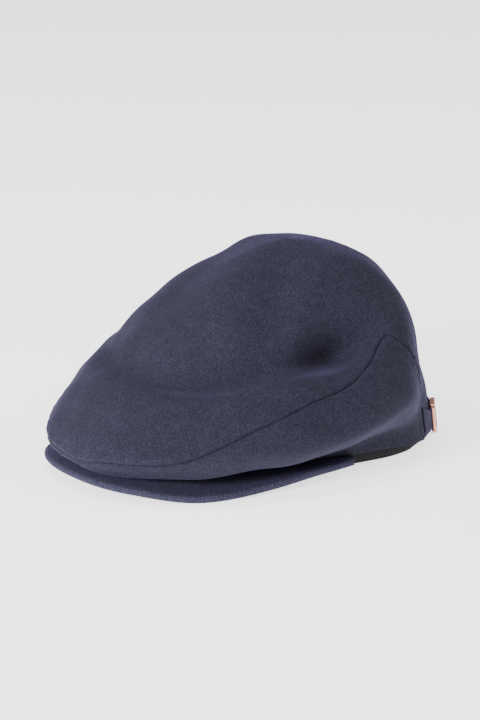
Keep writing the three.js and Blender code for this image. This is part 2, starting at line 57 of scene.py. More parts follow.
HEAD_LENGTH = 0.197
BAND_WALL = 0.0012

# The middle of the head opening lies behind the middle of the whole cap
head_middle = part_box("sweatband")[0].y + HEAD_LENGTH / 2 + BAND_WALL


def place_camera():
    back = Vector((
        math.sin(CAMERA_TURN) * math.cos(CAMERA_RISE),
        -math.cos(CAMERA_TURN) * math.cos(CAMERA_RISE),
        math.sin(CAMERA_RISE),
    ))
    right = Vector((math.cos(CAMERA_TURN), math.sin(CAMERA_TURN), 0))
    up = back.cross(right)
    data = bpy.data.cameras.new("camera")
    data.lens = CAMERA_LENS
    data.sensor_width = SENSOR_WIDTH
    data.clip_end = VIEW_REACH
    camera = bpy.data.objects.new("camera", data)
    aim = Vector((0, head_middle, AIM_HEIGHT)) - right * AIM_ASIDE - up * AIM_UP
    camera.matrix_world = Matrix.Translation(aim + back * CAMERA_DISTANCE) @ Matrix((
        (right.x, up.x, back.x, 0),
        (right.y, up.y, back.y, 0),
        (right.z, up.z, back.z, 0),
        (0, 0, 0, 1),
    ))
    bpy.context.scene.collection.objects.link(camera)
    bpy.context.scene.camera = camera


place_camera()

# Floor and light: a wide pale floor, a large soft light over the cap, smaller ones from the left
# and the back, and a low one that reaches the peak under the crown, all in a bright room.
FLOOR_RADIUS = 30
FLOOR_STEPS = 96
FLOOR_COLOUR = (0.93, 0.93, 0.935)
FLOOR_ROUGHNESS = 0.9
ROOM_COLOUR = (1, 1, 1)
ROOM_STRENGTH = 0.42
FLOOR_GLOW = 1.7
LIGHTS_AIM = Vector((0, 0, 0.05))
LIGHTS = [
    {"name": "light_overhead", "at": (-0.3, -0.2, 1.9), "size": 1.1, "power": 21},
    {"name": "light_left", "at": (-1.7, -1.2, 1.5), "size": 1.2, "power": 10},
    {"name": "light_back", "at": (0.9, 1.6, 1.5), "size": 1.4, "power": 20},
    {"name": "light_front", "at": (0.25, -1.9, 0.75), "size": 0.6, "power": 66},
]


def fresh_material(name):
    """A new material with its nodes, their links and its shader"""
    material = bpy.data.materials.new(name)
    material.use_nodes = True
    nodes, links = material.node_tree.nodes, material.node_tree.links
    return material, nodes, links, nodes["Principled BSDF"]


def place_floor():
    mesh = bpy.data.meshes.new("floor")
    turns = [2 * math.pi * i / FLOOR_STEPS for i in range(FLOOR_STEPS)]
    ring = [(FLOOR_RADIUS * math.cos(turn), FLOOR_RADIUS * math.sin(turn), 0) for turn in turns]
    mesh.from_pydata(ring, [], [list(range(FLOOR_STEPS))])
    material, _, _, shader = fresh_material("pale_floor")
    shader.inputs["Base Color"].default_value = (*FLOOR_COLOUR, 1)
    shader.inputs["Roughness"].default_value = FLOOR_ROUGHNESS
    shader.inputs["Emission Color"].default_value = (1, 1, 1, 1)
    shader.inputs["Emission Strength"].default_value = FLOOR_GLOW
    mesh.materials.append(material)
    floor = bpy.data.objects.new("floor", mesh)
    bpy.context.scene.collection.objects.link(floor)


def place_lights():
    world = bpy.data.worlds.new("room")
    world.use_nodes = True
    background = world.node_tree.nodes["Background"]
    background.inputs["Color"].default_value = (*ROOM_COLOUR, 1)
    background.inputs["Strength"].default_value = ROOM_STRENGTH
    bpy.context.scene.world = world
    for row in LIGHTS:
        data = bpy.data.lights.new(row["name"], "AREA")
        data.size = row["size"]
        data.energy = row["power"]
        light = bpy.data.objects.new(row["name"], data)
        light.location = row["at"]
        light.rotation_euler = (LIGHTS_AIM - light.location).to_track_quat("-Z", "Y").to_euler()
        bpy.context.scene.collection.objects.link(light)


place_floor()
place_lights()

# Sweatband: a woven band all round the inside of the head opening, sewn to the cloth along its
# lower edge. Behind the side panels the strap pulls it in a little.
HEAD_WIDTH = 0.158
BACK_FULLNESS = 0.08
BAND_HEIGHT = 0.030
BAND_FRONT_LIFT = 0.005
BAND_EDGE_ROWS = 6
EDGE_STEPS = 6
WELD = 1e-6
BAND_STEPS = 360
BAND_COLOUR = (0.0085, 0.0082, 0.0098)
BAND_TONES = (0.7, 1.4)
BAND_ROUGHNESS = 0.8
BAND_GLOSS = 0.2
BAND_FLECK_SCALE = 260
BAND_RIB = 0.0011
RIB_STRENGTH = 0.5
RIB_DEPTH = 0.0003
WAVE_AT_SCALE_ONE = 0.314
TUCK_DEPTH = 0.0012
TUCK_ANGLES = (113, 120)
TUCK_PLACES = (2.6, 3.8)
BAND_SECTIONS = [
    {"angle": 0, "low": 1, "lean": 0},
    {"angle": 30, "low": 0.92, "lean": 0},
    {"angle": 55, "low": 0.76, "lean": 0},
    {"angle": 75, "low": 0.6, "lean": 0},
    {"angle": 90, "low": 0.48, "lean": 0},
    {"angle": 105, "low": 0.16, "lean": 0.01},
    {"angle": 120, "low": 0, "lean": 0.03},
    {"angle": 145, "low": 0, "lean": 0.07},
    {"angle": 165, "low": 0, "lean": 0.082},
    {"angle": 180, "low": 0, "lean": 0.09},
]


def ramp(value, low, high):
    """Smooth step from 0 at one value to 1 at the other"""
    f = np.clip((value - low) / (high - low), 0, 1)
    return f * f * (3 - 2 * f)


def bump(distance, width):
    return np.exp(-((distance / width) ** 2))


def turn_of(angle):
    """An angle's turn away from the front, the same to the left and to the right"""
    return np.abs((np.asarray(angle, float) + 180) % 360 - 180)


def cubic(f, a, slope_a, b, slope_b):
    """Cubic between two values with given slopes"""
    g = f * f
    h = g * f
    return (2 * h - 3 * g + 1) * a + (h - 2 * g + f) * slope_a + (3 * g - 2 * h) * b + (h - g) * slope_b


def between(rows, name, angle):
    """Smooth values from a table at angles, level wherever the table turns back"""
    at = np.array([row["angle"] for row in rows], float)
    values = np.array([row[name] for row in rows], float).reshape(len(rows), -1)
    step = np.diff(at)[:, None]
    rise = np.diff(values, axis=0) / step
    slopes = np.zeros_like(values)
    weighed = (rise[:-1] * step[1:] + rise[1:] * step[:-1]) / (step[1:] + step[:-1])
    slopes[1:-1] = np.where(rise[:-1] * rise[1:] > 0, weighed, 0)
    if at[0] > 0:
        slopes[0] = rise[0]
    if at[-1] < 180:
        slopes[-1] = rise[-1]
    turn = turn_of(angle)
    index = np.clip(np.searchsorted(at, turn) - 1, 0, len(rows) - 2)
    f = np.clip((turn - at[index]) / step[index, 0], 0, 1)[..., None]
    span = step[index]
    found = cubic(f, values[index], slopes[index] * span, values[index + 1], slopes[index + 1] * span)
    return found[..., 0] if values.shape[1] == 1 else found


def oval(angle, outside, height, reach=1.0):
    """Points on an oval round the head, this far outside the head opening"""
    turn = np.radians(angle)
    side = (HEAD_WIDTH / 2 + outside) * reach * (1 - BACK_FULLNESS * np.cos(turn))
    x = side * np.sin(turn)
    y = head_middle - (HEAD_LENGTH / 2 + outside) * reach * np.cos(turn)
    return np.stack(np.broadcast_arrays(x, y, height), axis=-1)


def tuck_depth(angle, place):
    """How far the top panel and the band are pulled in behind the side panel's rear edge"""
    return TUCK_DEPTH * ramp(turn_of(angle), *TUCK_ANGLES) * (1 - ramp(place, *TUCK_PLACES))


def rounded_end(outer, inner, inward, bulge):
    """Points round the edge of a wall, from its outer to its inner side"""
    middle = (outer + inner) / 2
    half = (outer - inner) / 2
    away = outer - inward
    away /= np.maximum(np.linalg.norm(away, axis=-1, keepdims=True), 1e-9)
    points = []
    for i in range(1, EDGE_STEPS):
        turn = math.pi * i / EDGE_STEPS
        points.append(middle + half * math.cos(turn) + away * bulge * math.sin(turn))
    return points


def wall_rings(outer, inner, low_bulge, high_bulge):
    """Loops round a wall: up its outer side, over its upper edge, down the inner side and under"""
    over = rounded_end(outer[:, -1], inner[:, -1], outer[:, -2], high_bulge)
    under = rounded_end(outer[:, 0], inner[:, 0], outer[:, 1], low_bulge)[::-1]
    parts = [outer, np.stack(over, axis=1), inner[:, ::-1], np.stack(under, axis=1)]
    return np.concatenate(parts, axis=1)


def skin(name, rings, closed, material):
    """A closed smooth mesh through a row of loops of points"""
    count, around = rings.shape[:2]
    bm = bmesh.new()
    verts = [[bm.verts.new(point) for point in ring] for ring in rings]
    for i in range(count if closed else count - 1):
        here, there = verts[i], verts[(i + 1) % count]
        for j in range(around):
            k = (j + 1) % around
            bm.faces.new((here[j], there[j], there[k], here[k]))
    if not closed:
        bm.faces.new(verts[0])
        bm.faces.new(verts[-1][::-1])
    bmesh.ops.remove_doubles(bm, verts=bm.verts, dist=WELD)
    bare = [edge for edge in bm.edges if not edge.link_faces]
    bmesh.ops.delete(bm, geom=bare, context="EDGES")
    if bm.calc_volume(signed=True) < 0:
        bmesh.ops.reverse_faces(bm, faces=bm.faces)
    for face in bm.faces:
        face.smooth = True
    mesh = bpy.data.meshes.new(name)
    bm.to_mesh(mesh)
    bm.free()
    mesh.materials.append(material)
    piece = bpy.data.objects.new(name, mesh)
    bpy.context.scene.collection.objects.link(piece)
    return piece


def flecked_material(name, colour, tones, scale, detail):
    """A material whose colour wanders between a darker and a lighter share of one colour"""
    material, nodes, links, shader = fresh_material(name)
    place = nodes.new("ShaderNodeTexCoord")
    flecks = nodes.new("ShaderNodeTexNoise")
    flecks.inputs["Scale"].default_value = scale
    flecks.inputs["Detail"].default_value = detail
    links.new(place.outputs["Object"], flecks.inputs["Vector"])
    mix = nodes.new("ShaderNodeMix")
    mix.data_type = "RGBA"
    for socket, tone in zip(("A", "B"), tones):
        mix.inputs[socket].default_value = (*(tone * c for c in colour), 1)
    links.new(flecks.outputs["Fac"], mix.inputs["Factor"])
    links.new(mix.outputs["Result"], shader.inputs["Base Color"])
    return material, nodes, links, shader, place


def band_material():
    made = flecked_material("ribbed_band", BAND_COLOUR, BAND_TONES, BAND_FLECK_SCALE, 4)
    material, nodes, links, shader, place = made
    shader.inputs["Roughness"].default_value = BAND_ROUGHNESS
    shader.inputs["Specular IOR Level"].default_value = BAND_GLOSS
    ribs = nodes.new("ShaderNodeTexWave")
    ribs.bands_direction = "Z"
    ribs.inputs["Scale"].default_value = WAVE_AT_SCALE_ONE / BAND_RIB
    links.new(place.outputs["Object"], ribs.inputs["Vector"])
    relief = nodes.new("ShaderNodeBump")
    relief.inputs["Strength"].default_value = RIB_STRENGTH
    relief.inputs["Distance"].default_value = RIB_DEPTH
    links.new(ribs.outputs["Fac"], relief.inputs["Height"])
    links.new(relief.outputs["Normal"], shader.inputs["Normal"])
    return material


def make_sweatband():
    angle = np.arange(BAND_STEPS) * 360 / BAND_STEPS
    low = BAND_FRONT_LIFT * between(BAND_SECTIONS, "low", angle)
    lean = between(BAND_SECTIONS, "lean", angle)
    inside = -tuck_depth(angle, 0)
    outer, inner = [], []
    for f in np.linspace(0, 1, BAND_EDGE_ROWS):
        edge = BAND_WALL / 2 * (1 - 2 * f)
        height = low + BAND_HEIGHT * f + edge
        outer.append(oval(angle, inside + BAND_WALL, height, 1 - lean * f))
        inner.append(oval(angle, inside, height, 1 - lean * f))
    rings = wall_rings(np.stack(outer, axis=1), np.stack(inner, axis=1), BAND_WALL / 2, BAND_WALL / 2)
    piece = skin("band_ribbed", rings, True, band_material())
    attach(piece, "root")
    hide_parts("sweatband")
    return piece


band = make_sweatband()

# Thread: navy stitches sewn in rows. Nodes lay one small rounded stitch at each step of a row.
THREAD_COLOUR = (0.02, 0.018, 0.034)
THREAD_TONES = (0.6, 1.5)
THREAD_ROUGHNESS = 0.6
THREAD_RADIUS = 0.00022
STITCH_LENGTH = 0.0024
STITCH_SPACING = 0.0033
STITCH_SIDES = 8
BAND_STITCH_HEIGHT = 0.0035


def thread_material():
    made = flecked_material("navy_thread", THREAD_COLOUR, THREAD_TONES, 1 / THREAD_RADIUS, 2)
    material, _, _, shader, _ = made
    shader.inputs["Roughness"].default_value = THREAD_ROUGHNESS
    return material


def stitch_tree():
    """A node tree that lays stitches at equal steps along its object's edges"""
    tree = bpy.data.node_groups.new("stitch_row", "GeometryNodeTree")
    tree.interface.new_socket("Geometry", in_out="INPUT", socket_type="NodeSocketGeometry")
    for name in ("Spacing", "Half Length", "Thread Radius"):
        tree.interface.new_socket(name, in_out="INPUT", socket_type="NodeSocketFloat")
    tree.interface.new_socket("Geometry", in_out="OUTPUT", socket_type="NodeSocketGeometry")
    nodes, links = tree.nodes, tree.links
    start = nodes.new("NodeGroupInput").outputs
    curve = nodes.new("GeometryNodeMeshToCurve")
    steps = nodes.new("GeometryNodeResampleCurve")
    steps.mode = "LENGTH"
    tangent = nodes.new("GeometryNodeInputTangent")
    turned = nodes.new("FunctionNodeAlignRotationToVector")
    turned.axis = "Z"
    shape = nodes.new("ShaderNodeCombineXYZ")
    stitch = nodes.new("GeometryNodeMeshUVSphere")
    stitch.inputs["Segments"].default_value = STITCH_SIDES
    stitch.inputs["Rings"].default_value = STITCH_SIDES
    laid = nodes.new("GeometryNodeInstanceOnPoints")
    real = nodes.new("GeometryNodeRealizeInstances")
    dressed = nodes.new("GeometryNodeSetMaterial")
    dressed.inputs["Material"].default_value = thread_material()
    end = nodes.new("NodeGroupOutput")
    links.new(start["Geometry"], curve.inputs["Mesh"])
    links.new(curve.outputs["Curve"], steps.inputs["Curve"])
    links.new(start["Spacing"], steps.inputs["Length"])
    links.new(tangent.outputs["Tangent"], turned.inputs["Vector"])
    for side in ("X", "Y"):
        links.new(start["Thread Radius"], shape.inputs[side])
    links.new(start["Half Length"], shape.inputs["Z"])
    links.new(steps.outputs["Curve"], laid.inputs["Points"])
    links.new(stitch.outputs["Mesh"], laid.inputs["Instance"])
    links.new(turned.outputs["Rotation"], laid.inputs["Rotation"])
    links.new(shape.outputs["Vector"], laid.inputs["Scale"])
    links.new(laid.outputs["Instances"], real.inputs["Geometry"])
    links.new(real.outputs["Geometry"], dressed.inputs["Geometry"])
    links.new(dressed.outputs["Geometry"], end.inputs["Geometry"])
    return tree


stitching = stitch_tree()


def make_stitches(name, rows):
    """Stitches along rows of points"""
    points = [tuple(point) for row in rows for point in row]
    starts = np.cumsum([0] + [len(row) for row in rows[:-1]])
    edges = [(int(s) + i, int(s) + i + 1) for s, row in zip(starts, rows) for i in range(len(row) - 1)]
    mesh = bpy.data.meshes.new(name)
    mesh.from_pydata(points, edges, [])
    piece = bpy.data.objects.new(name, mesh)
    bpy.context.scene.collection.objects.link(piece)
    sewn = piece.modifiers.new("stitches", "NODES")
    sewn.node_group = stitching
    sizes = {"Spacing": STITCH_SPACING, "Half Length": STITCH_LENGTH / 2, "Thread Radius": THREAD_RADIUS}
    for socket in stitching.interface.items_tree:
        if socket.name in sizes:
            sewn[socket.identifier] = sizes[socket.name]
    seen = piece.evaluated_get(bpy.context.evaluated_depsgraph_get())
    whole = bpy.data.meshes.new_from_object(seen)
    piece.modifiers.remove(sewn)
    piece.data = whole
    for face in whole.polygons:
        face.use_smooth = True
    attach(piece, "root")
    return piece


def make_band_stitches():
    angle = np.linspace(0, 360, BAND_STEPS + 1)
    low = BAND_FRONT_LIFT * between(BAND_SECTIONS, "low", angle)
    share = BAND_STITCH_HEIGHT / BAND_HEIGHT
    reach = 1 - between(BAND_SECTIONS, "lean", angle) * share
    row = oval(angle, -tuck_depth(angle, 0), low + BAND_STITCH_HEIGHT, reach)
    return make_stitches("band_stitches", [row])


band_stitches = make_band_stitches()

# Wool: a thick milled cloth in dark navy, with a short nap that hides its weave and catches a
# violet-blue light where the surface turns away. The peak's cover is given a paler mix of it as
# painted light, because the crown shades it and it would come out too dark.
WOOL_TONES = [
    {"at": 0.4, "colour": (0.0088, 0.0079, 0.0176)},
    {"at": 0.5, "colour": (0.0155, 0.0143, 0.028)},
    {"at": 0.62, "colour": (0.0295, 0.0277, 0.0485)},
]
WOOL_ROUGHNESS = 0.92
WOOL_GLOSS = 0.2
WOOL_SHEEN = 0.19
WOOL_SHEEN_ROUGHNESS = 0.24
WOOL_SHEEN_TINT = (0.46, 0.36, 0.98)
# Painted light: how much paler the peak's wool is made, to make up for the shade the crown casts on it
PEAK_PAINTED_LIGHT = 1.8
NAP_STRENGTH = 0.6
NAP_HEIGHT = 0.0003

# Its grain, from single fibres and finer fuzz, which also stand up as nap, to wide clouds
WOOL_GRAINS = [
    {"size": 0.0007, "detail": 1, "roughness": 0.6, "share": 0.62},
    {"size": 0.0004, "detail": 2, "roughness": 0.6, "share": 0.2},
    {"size": 0.005, "detail": 2, "roughness": 0.5, "share": 0.1},
    {"size": 0.035, "detail": 2, "roughness": 0.5, "share": 0.08},
]


def wool_material(name, painted_lightness):
    material, nodes, links, shader = fresh_material(name)
    shader.inputs["Roughness"].default_value = WOOL_ROUGHNESS
    shader.inputs["Specular IOR Level"].default_value = WOOL_GLOSS
    shader.inputs["Sheen Weight"].default_value = WOOL_SHEEN
    shader.inputs["Sheen Roughness"].default_value = WOOL_SHEEN_ROUGHNESS
    shader.inputs["Sheen Tint"].default_value = (*WOOL_SHEEN_TINT, 1)
    place = nodes.new("ShaderNodeTexCoord")

    def noise(size, detail, roughness):
        node = nodes.new("ShaderNodeTexNoise")
        node.inputs["Scale"].default_value = 1 / size
        node.inputs["Detail"].default_value = detail
        node.inputs["Roughness"].default_value = roughness
        links.new(place.outputs["Object"], node.inputs["Vector"])
        return node.outputs["Fac"]

    def mixed(kind, first, second):
        node = nodes.new("ShaderNodeMath")
        node.operation = kind
        for socket, value in zip(node.inputs, (first, second)):
            if isinstance(value, (int, float)):
                socket.default_value = value
            else:
                links.new(value, socket)
        return node.outputs["Value"]

    grains = [noise(row["size"], row["detail"], row["roughness"]) for row in WOOL_GRAINS]
    tone = 0
    for grain, row in zip(grains, WOOL_GRAINS):
        tone = mixed("ADD", tone, mixed("MULTIPLY", grain, row["share"]))
    colours = nodes.new("ShaderNodeValToRGB")
    stops = colours.color_ramp.elements
    stops.new(WOOL_TONES[1]["at"])
    # A lightness above one paints light into every tone of the wool's colour
    for stop, row in zip(stops, WOOL_TONES):
        stop.position = row["at"]
        stop.color = (*(painted_lightness * c for c in row["colour"]), 1)
    links.new(tone, colours.inputs["Fac"])
    links.new(colours.outputs["Color"], shader.inputs["Base Color"])
    nap = nodes.new("ShaderNodeBump")
    nap.inputs["Strength"].default_value = NAP_STRENGTH
    nap.inputs["Distance"].default_value = NAP_HEIGHT
    fibre, fuzz = grains[:2]
    links.new(mixed("ADD", fibre, fuzz), nap.inputs["Height"])
    links.new(nap.outputs["Normal"], shader.inputs["Normal"])
    return material


wool = wool_material("navy_wool", 1)
# The peak's copy of the wool, with painted light in its colour
peak_wool_painted_light = wool_material("navy_wool_peak_painted_light", PEAK_PAINTED_LIGHT)

# Peak: a stiff board under the front of the crown, covered in the same wool with painted light
# added, with a rounded edge. Its root is sewn to the band, and its two corners bend down to the surface.
SEAM_GAP = 0.0003
PEAK_LENGTH = 0.065
PEAK_FLARE = 0.0103
PEAK_CORNER_STEP = 0.0065
PEAK_THICKNESS = 0.0045
PEAK_ROOT_HEIGHT = 0.009
PEAK_TIP_LIFT = 0.0066
PEAK_SQUARENESS = 2.4
PEAK_STEPS = 240
PEAK_ROWS = 24
PEAK_EDGE_STEPS = 26
COVER_SEAM_TURN = 0.9
COVER_SEAM_WIDTH = 0.16
COVER_SEAM_DEPTH = 0.0004
PEAK_SECTIONS = [
    {"angle": 0, "root": 1, "edge": 1},
    {"angle": 25, "root": 0.94, "edge": 0.72},
    {"angle": 48, "root": 0.74, "edge": 0},
    {"angle": 66, "root": 0.6, "edge": 0.441},
    {"angle": 76, "root": 0.52, "edge": 0.82},
    {"angle": 84, "root": 0.44, "edge": 0.92},
]


def make_peak():
    corner_angle = PEAK_SECTIONS[-1]["angle"]
    root_outside = BAND_WALL + SEAM_GAP
    corner = oval(corner_angle, root_outside, 0.0)
    half_width = corner[0] + PEAK_FLARE
    corner_y = corner[1] - PEAK_CORNER_STEP
    length = corner_y - head_middle + HEAD_LENGTH / 2 + root_outside + PEAK_LENGTH
    angle = np.linspace(-corner_angle, corner_angle, PEAK_STEPS + 1)
    turn = np.radians(angle / corner_angle * 90)

    def power(value):
        return np.sign(value) * np.abs(value) ** (2 / PEAK_SQUARENESS)

    root = oval(angle, root_outside, 0.0)
    tip = np.stack([half_width * power(np.sin(turn)), corner_y - length * power(np.cos(turn)),
                    np.zeros_like(turn)], axis=-1)
    width = np.linalg.norm(tip - root, axis=-1)
    root_z = PEAK_ROOT_HEIGHT * between(PEAK_SECTIONS, "root", angle)
    edge_z = PEAK_TIP_LIFT * between(PEAK_SECTIONS, "edge", angle)
    radius = PEAK_THICKNESS / 2
    flat = width - radius

    def at(distance, height):
        point = root + (tip - root) * (distance / width)[:, None]
        point[:, 2] = height
        return point

    def height(f):
        return root_z + (edge_z - root_z) * f

    under = [at(flat * f, height(f)) for f in np.linspace(0, 1, PEAK_ROWS + 1)]
    over = [at(flat * f, height(f) + PEAK_THICKNESS) for f in np.linspace(1, 0, PEAK_ROWS + 1)]
    edge = []
    for roll in np.linspace(0, math.pi, PEAK_EDGE_STEPS + 1)[1:-1]:
        reach = radius - COVER_SEAM_DEPTH * bump(roll - COVER_SEAM_TURN, COVER_SEAM_WIDTH)
        edge.append(at(flat + reach * math.sin(roll), edge_z + radius - reach * math.cos(roll)))
    rings = np.stack([*under, *edge, *over], axis=1)
    piece = skin("peak_covered", rings, False, peak_wool_painted_light)
    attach(piece, "root")
    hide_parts("peak")
    return piece


peak = make_peak()

# Side panel: one strip of wool that wraps the front and both sides. Its lower edge is turned
# under at the rim, and its upper edge is turned in at the seam with the top panel.
CLOTH_WALL = 0.002
CROWN_HEIGHT = 0.128
PEAK_CLEARANCE = 0.0005
CLOTH_OUTSIDE = BAND_WALL + SEAM_GAP + CLOTH_WALL
SEAT_HEIGHT = PEAK_ROOT_HEIGHT + PEAK_THICKNESS + PEAK_CLEARANCE
CROWN_PLACES = ("rim", "turn", "under", "bulge", "roll", "crease", "slope", "crest")
POLE = len(CROWN_PLACES)
CROWN_SECTIONS = [
    {"angle": 0, "seat": 1, "rim": (1, 0), "turn": (1.42, -0.01), "under": (1.56, -0.008),
     "bulge": (1.61, 0.052), "roll": (1.48, 0.25), "crease": (1.17, 0.476), "slope": (0.81, 0.69),
     "crest": (0.42, 0.885)},
    {"angle": 18, "seat": 0.97, "rim": (1, 0), "turn": (1.39, -0.005), "under": (1.54, -0.001),
     "bulge": (1.59, 0.066), "roll": (1.46, 0.257), "crease": (1.16, 0.474), "slope": (0.81, 0.695),
     "crest": (0.42, 0.888)},
    {"angle": 32, "seat": 0.93, "rim": (1, 0), "turn": (1.31, 0.002), "under": (1.47, 0.01),
     "bulge": (1.54, 0.095), "roll": (1.42, 0.268), "crease": (1.15, 0.471), "slope": (0.81, 0.7),
     "crest": (0.42, 0.89)},
    {"angle": 55, "seat": 0.81, "rim": (1, 0), "turn": (1.19, 0.026), "under": (1.37, 0.062),
     "bulge": (1.45, 0.14), "roll": (1.36, 0.3), "crease": (1.11, 0.495), "slope": (0.8, 0.713),
     "crest": (0.43, 0.9)},
    {"angle": 75, "seat": 0.71, "rim": (1, 0.003), "turn": (1.06, 0.05), "under": (1.22, 0.1),
     "bulge": (1.32, 0.175), "roll": (1.26, 0.34), "crease": (1.05, 0.527), "slope": (0.76, 0.751),
     "crest": (0.41, 0.917)},
    {"angle": 95, "seat": 0.6, "rim": (1, 0.006), "turn": (1.01, 0.09), "under": (1.12, 0.15),
     "bulge": (1.21, 0.25), "roll": (1.16, 0.415), "crease": (1, 0.603), "slope": (0.74, 0.789),
     "crest": (0.4, 0.936)},
    {"angle": 120, "seat": 0.2, "rim": (1, 0.004), "turn": (1, 0.098), "under": (1.01, 0.194),
     "bulge": (1.01, 0.315), "roll": (0.97, 0.484), "crease": (0.88, 0.67), "slope": (0.68, 0.831),
     "crest": (0.38, 0.952)},
    {"angle": 145, "seat": 0.05, "rim": (1, 0.004), "turn": (0.98, 0.113), "under": (0.95, 0.232),
     "bulge": (0.9, 0.359), "roll": (0.85, 0.509), "crease": (0.76, 0.675), "slope": (0.6, 0.85),
     "crest": (0.34, 0.961)},
    {"angle": 165, "seat": 0, "rim": (1, 0.008), "turn": (0.97, 0.118), "under": (0.94, 0.244),
     "bulge": (0.89, 0.378), "roll": (0.83, 0.535), "crease": (0.72, 0.701), "slope": (0.56, 0.865),
     "crest": (0.31, 0.965)},
    {"angle": 180, "seat": 0, "rim": (1, 0.008), "turn": (0.97, 0.118), "under": (0.93, 0.244),
     "bulge": (0.88, 0.378), "roll": (0.81, 0.535), "crease": (0.7, 0.705), "slope": (0.54, 0.865),
     "crest": (0.3, 0.965)},
]

# Dents and swells of the crown, inwards where the depth is above zero
CROWN_DENTS = [
    {"angle": 79, "place": 5.35, "spread": 15, "run": 0.72, "depth": 0.085},
    {"angle": 100, "place": 5.3, "spread": 9, "run": 0.8, "depth": 0.02},
    {"angle": 38, "place": 5.1, "spread": 36, "run": 0.45, "depth": 0.045},
    {"angle": 0, "place": 5, "spread": 20, "run": 0.45, "depth": 0.02},
    {"angle": 56, "place": 6.3, "spread": 14, "run": 1.2, "depth": 0.024},
    {"angle": 18, "place": 6.5, "spread": 24, "run": 0.9, "depth": -0.02},
    {"angle": -50, "place": 6.2, "spread": 22, "run": 0.6, "depth": -0.022},
    {"angle": -43, "place": 5.4, "spread": 18, "run": 0.8, "depth": -0.034},
    {"angle": -85, "place": 6.95, "spread": 26, "run": 0.6, "depth": -0.022},
    {"angle": -75, "place": 5.2, "spread": 20, "run": 0.7, "depth": 0.035},
    {"angle": 118, "place": 6.1, "spread": 24, "run": 0.9, "depth": -0.016},
    {"angle": 130, "place": 3.5, "spread": 12, "run": 0.5, "depth": 0.014},
    {"angle": 162, "place": 6.5, "spread": 7, "run": 0.25, "depth": 0.014},
]
SEAM_ROUTE = [
    {"angle": 0, "place": 2.88},
    {"angle": 15, "place": 3.08},
    {"angle": 26, "place": 3.05},
    {"angle": 35, "place": 3.12},
    {"angle": 42, "place": 3.4},
    {"angle": 50, "place": 3.78},
    {"angle": 65, "place": 4.23},
    {"angle": 80, "place": 4.44},
    {"angle": 88, "place": 4.66},
    {"angle": 95, "place": 4.9},
    {"angle": 100.5, "place": 4.98},
    {"angle": 105, "place": 4.6},
    {"angle": 110, "place": 3.85},
    {"angle": 116, "place": 2.85},
    {"angle": 121, "place": 1.6},
    {"angle": 125, "place": 0},
]
SEAM_END = SEAM_ROUTE[-1]["angle"]

# The crease where the crown folds down over its front: a narrow valley along a route of places,
# deepest at one angle, with a low shelf of cloth that stands out just below it.
CREASE_ROUTE = [
    {"angle": 0, "place": 5.0},
    {"angle": 20, "place": 4.94},
    {"angle": 32, "place": 4.92},
    {"angle": 42, "place": 4.99},
    {"angle": 56, "place": 5.17},
    {"angle": 74, "place": 5.28},
    {"angle": 90, "place": 5.2},
]
CREASE_ANGLE = 16
CREASE_SPREAD = 64
CREASE_DEPTH = 0.0062
CREASE_WIDTH = 0.3
CREASE_ROUNDING = 0.08
SHELF_HEIGHT = 0.0016
SHELF_BELOW = 0.34
SHELF_WIDTH = 0.21

# Smaller pits and ridges of the soft cloth, in the same columns as the dents
SMALL_DENTS = [
    {"angle": 80, "place": 5.3, "spread": 16, "run": 0.3, "depth": 0.068},
    {"angle": 86, "place": 5.02, "spread": 9, "run": 0.2, "depth": 0.03},
    {"angle": 74, "place": 4.8, "spread": 16, "run": 0.2, "depth": -0.014},
    {"angle": -8, "place": 5.3, "spread": 9, "run": 0.3, "depth": 0.008},
    {"angle": 26, "place": 5.75, "spread": 10, "run": 0.4, "depth": 0.006},
    {"angle": 100, "place": 6.4, "spread": 8, "run": 0.3, "depth": 0.005},
]

# Long low waves that keep the cloth from lying dead smooth
CLOTH_WAVES = [
    {"turn": 20, "tilt": 15, "length": 0.047, "depth": 0.00034},
    {"turn": 75, "tilt": -20, "length": 0.039, "depth": 0.0003},
    {"turn": 130, "tilt": 35, "length": 0.031, "depth": 0.00024},
    {"turn": 165, "tilt": -40, "length": 0.026, "depth": 0.0002},
    {"turn": 100, "tilt": 60, "length": 0.022, "depth": 0.00016},
]
SEAM_COLUMN_STEP = 0.0013
SEAM_TRACE_STEP = 0.00025
SEAM_SAMPLES = 4001
RIM_ROUNDING = 0.0004
SIDE_ROWS = 64
SIDE_INNER_ROWS = 24
SIDE_GATHER = (1.3, 1.6)
PLACE_STEP = 0.02
ANGLE_STEP = 0.2

# The turned-in edge at a seam, the ridge of the folded cloth beside it and its pucker
SEAM_SINK = 0.0009
SEAM_SINK_WIDTH = 0.00075
SEAM_RIDGE = 0.0004
SEAM_RIDGE_AT = 0.0034
SEAM_RIDGE_WIDTH = 0.0018
PUCKER = 0.00016
PUCKER_LENGTH = 0.011
FINE_PUCKER = 0.6
FINE_PUCKER_LENGTH = 0.37


def crown_knots(angle):
    """The crown's section at each angle: its places, the pole, and the crest on the far side"""

    def column(angle):
        seat = SEAT_HEIGHT * between(CROWN_SECTIONS, "seat", angle)
        shares = [between(CROWN_SECTIONS, name, angle) for name in CROWN_PLACES]
        rise = CROWN_HEIGHT - seat
        return [oval(angle, CLOTH_OUTSIDE, seat + share[..., 1] * rise, share[..., 0]) for share in shares]

    pole = np.broadcast_to(np.array([0, head_middle, CROWN_HEIGHT]), (*np.shape(angle), 3))
    return np.stack([*column(angle), pole, column(angle + 180)[-1]], axis=-2)


